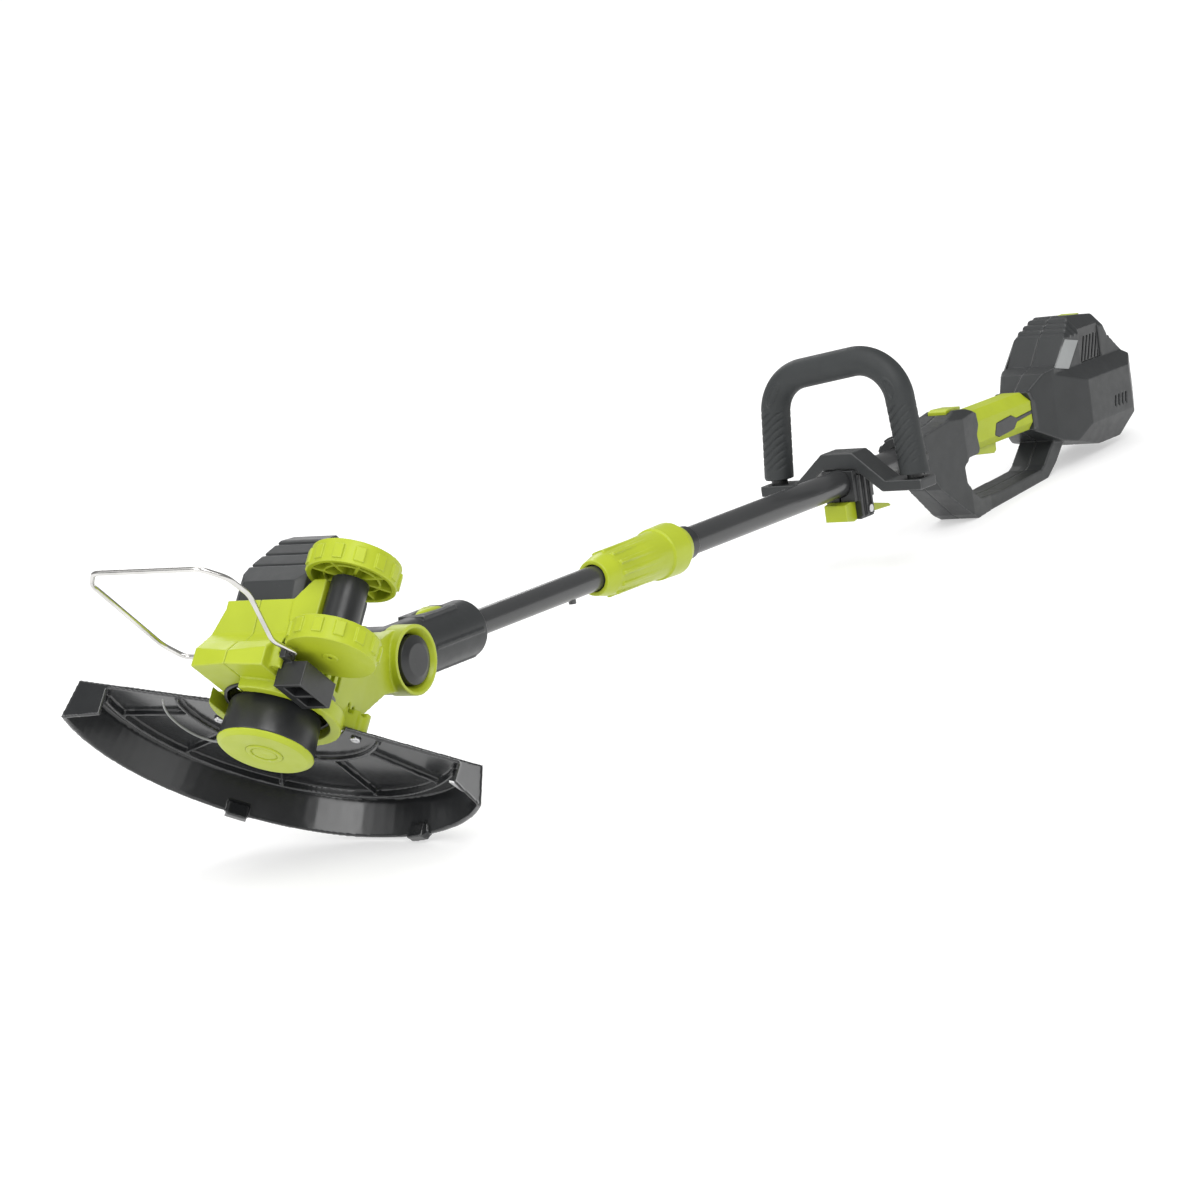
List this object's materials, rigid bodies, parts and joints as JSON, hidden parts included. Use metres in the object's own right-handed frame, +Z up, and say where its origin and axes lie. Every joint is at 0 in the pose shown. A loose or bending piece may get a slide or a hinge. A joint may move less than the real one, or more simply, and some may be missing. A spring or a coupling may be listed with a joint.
{
  "type": "string trimmer",
  "caption": "Battery string trimmer with a telescoping shaft, tilting motor head, guard, edging wheels, plant guard wire, sliding loop handle and rear D handle with a slide-out battery.",
  "frame": {"origin": "on the floor, under the middle of the bounding box, with the trimmer lying on its guard and its D handle", "axes": "+X along the shaft from the motor head to the rear handle, +Z up, -Y to the operator's left"},
  "size_m": [1.4224, 0.2754, 0.262],
  "materials": {
    "lime_shell": "moulded",
    "lime_wheel": "moulded",
    "dark_shell": "moulded, fine grain",
    "black_plastic": "moulded",
    "dark_rubber": "soft grip",
    "grip_lime": "soft overmould",
    "tube_paint": "satin powder coat",
    "steel": "brushed",
    "spring_steel": "bright",
    "copper": "bright",
    "board": "laminate",
    "nylon": "smooth",
    "label": "satin"
  },
  "bodies": {
    "handle": {"upper_tube": "tube_paint", "lock_collet": "black_plastic", "nose_nut": "black_plastic", "handle_left": "dark_shell", "handle_right": "dark_shell", "grip": "grip_lime", "grip_inlays": "black_plastic", "trigger_pin": "steel", "trigger_spring": "spring_steel", "power_switch": "black_plastic", "lock_off_spring": "spring_steel", "control_board": "board", "terminals": "copper", "label_panels": "label", "vent_grille": "black_plastic", "handle_screws": "steel"},
    "trigger": {"trigger": "lime_shell"},
    "lock_off": {"lock_off": "lime_shell"},
    "battery": {"battery": "black_plastic"},
    "battery_latch": {"battery_latch": "lime_shell"},
    "front_handle": {"loop_core": "black_plastic", "loop_grip": "dark_rubber", "loop_bracket": "dark_shell", "clamp_jaw": "black_plastic", "cam_pin": "steel", "clamp_block": "lime_shell"},
    "cam_lever": {"cam_lever": "lime_shell"},
    "lower_tube": {"lower_tube": "tube_paint", "tube_stud": "black_plastic"},
    "lock_sleeve": {"lock_sleeve": "lime_shell"},
    "neck": {"pivot_neck": "dark_shell", "neck_spring": "spring_steel"},
    "neck_button": {"neck_button": "lime_shell"},
    "head": {"motor_housing_left": "lime_shell", "motor_housing_right": "lime_shell", "motor_cover": "dark_shell", "motor_can": "steel", "guard": "black_plastic", "guard_screws": "steel", "line_cutter": "steel", "wire_clip": "black_plastic", "wheel_bracket": "black_plastic", "wheel_axle": "steel", "pivot_cap": "black_plastic", "pivot_pin": "steel", "pivot_spring": "spring_steel"},
    "pivot_button": {"pivot_button": "black_plastic"},
    "spool": {"rotor": "copper", "cooling_fan": "black_plastic", "spool_housing": "black_plastic", "spool_reel": "dark_shell", "line_coil": "nylon", "line_eyelet": "steel", "trimmer_line": "nylon", "spool_cap": "lime_shell", "bump_spring": "spring_steel"},
    "bump_button": {"bump_button": "lime_shell"},
    "wheel_lower": {"wheel_lower": "lime_wheel"},
    "wheel_upper": {"wheel_upper": "lime_wheel"},
    "flower_wire": {"flower_wire": "spring_steel"}
  },
  "joints": [
    {"name": "trigger_squeeze", "type": "hinge", "parent": "handle", "child": "trigger", "pos_m": [0.47424, -0.01925, 0.06508], "axis": [0, 1, 0], "range_deg": [0, 8], "stiffness_Nm_per_rad": 1, "springref_deg": -8.59, "deforming": ["trigger_spring"]},
    {"name": "lock_off_press", "type": "slide", "parent": "handle", "child": "lock_off", "axis": [-0.0644, 0, -0.9979], "range_m": [0, 0.003], "stiffness_N_per_m": 600, "springref_m": -0.002, "deforming": ["lock_off_spring"]},
    {"name": "battery_slide", "type": "slide", "parent": "handle", "child": "battery", "axis": [0.9979, 0, -0.0644], "range_m": [0, 0.1]},
    {"name": "latch_press", "type": "slide", "parent": "battery", "child": "battery_latch", "axis": [-0.0644, 0, -0.9979], "range_m": [0, 0.002], "stiffness_N_per_m": 600, "springref_m": -0.002},
    {"name": "front_handle_slide", "type": "slide", "parent": "handle", "child": "front_handle", "axis": [0.9979, 0, -0.0644], "range_m": [-0.22, 0.06]},
    {"name": "cam_lever_open", "type": "hinge", "parent": "front_handle", "child": "cam_lever", "pos_m": [0.22515, -0.01925, 0.05609], "axis": [0, 1, 0], "range_deg": [0, 75]},
    {"name": "shaft_slide", "type": "slide", "parent": "handle", "child": "lower_tube", "axis": [0.9979, 0, -0.0644], "range_m": [-0.09, 0.028]},
    {"name": "lock_sleeve_twist", "type": "hinge", "parent": "handle", "child": "lock_sleeve", "pos_m": [-0.11853, -0.01925, 0.1033], "axis": [0.9979, 0, -0.0644], "range_deg": [0, 60]},
    {"name": "neck_turn", "type": "hinge", "parent": "lower_tube", "child": "neck", "pos_m": [-0.37799, -0.01925, 0.12004], "axis": [0.9979, 0, -0.0644], "range_deg": [0, 90]},
    {"name": "neck_button_press", "type": "slide", "parent": "neck", "child": "neck_button", "axis": [-0.0644, 0, -0.9979], "range_m": [0, 0.0025], "stiffness_N_per_m": 700, "springref_m": -0.002, "deforming": ["neck_spring"]},
    {"name": "head_tilt", "type": "hinge", "parent": "neck", "child": "head", "pos_m": [-0.4678, -0.01925, 0.12583], "axis": [0, 1, 0], "range_deg": [-35, 20]},
    {"name": "pivot_button_press", "type": "slide", "parent": "head", "child": "pivot_button", "axis": [0, 1, 0], "range_m": [0, 0.0025], "stiffness_N_per_m": 1500, "springref_m": -0.002, "deforming": ["pivot_spring"]},
    {"name": "spool_spin", "type": "hinge", "parent": "head", "child": "spool", "pos_m": [-0.6069, -0.01925, 0.1181], "axis": [0.678, 0, 0.735], "continuous": true},
    {"name": "bump_press", "type": "slide", "parent": "spool", "child": "bump_button", "axis": [0.678, 0, 0.735], "range_m": [0, 0.0025], "stiffness_N_per_m": 1500, "springref_m": -0.002, "deforming": ["bump_spring"]},
    {"name": "wheel_lower_spin", "type": "hinge", "parent": "head", "child": "wheel_lower", "pos_m": [-0.60456, -0.08455, 0.1758], "axis": [0.678, 0, 0.735], "continuous": true},
    {"name": "wheel_upper_spin", "type": "hinge", "parent": "head", "child": "wheel_upper", "pos_m": [-0.56659, -0.08455, 0.21696], "axis": [0.678, 0, 0.735], "continuous": true},
    {"name": "flower_wire_swing", "type": "hinge", "parent": "head", "child": "flower_wire", "pos_m": [-0.62552, -0.01925, 0.17608], "axis": [0, 1, 0], "range_deg": [-25, 0]}
  ]
}
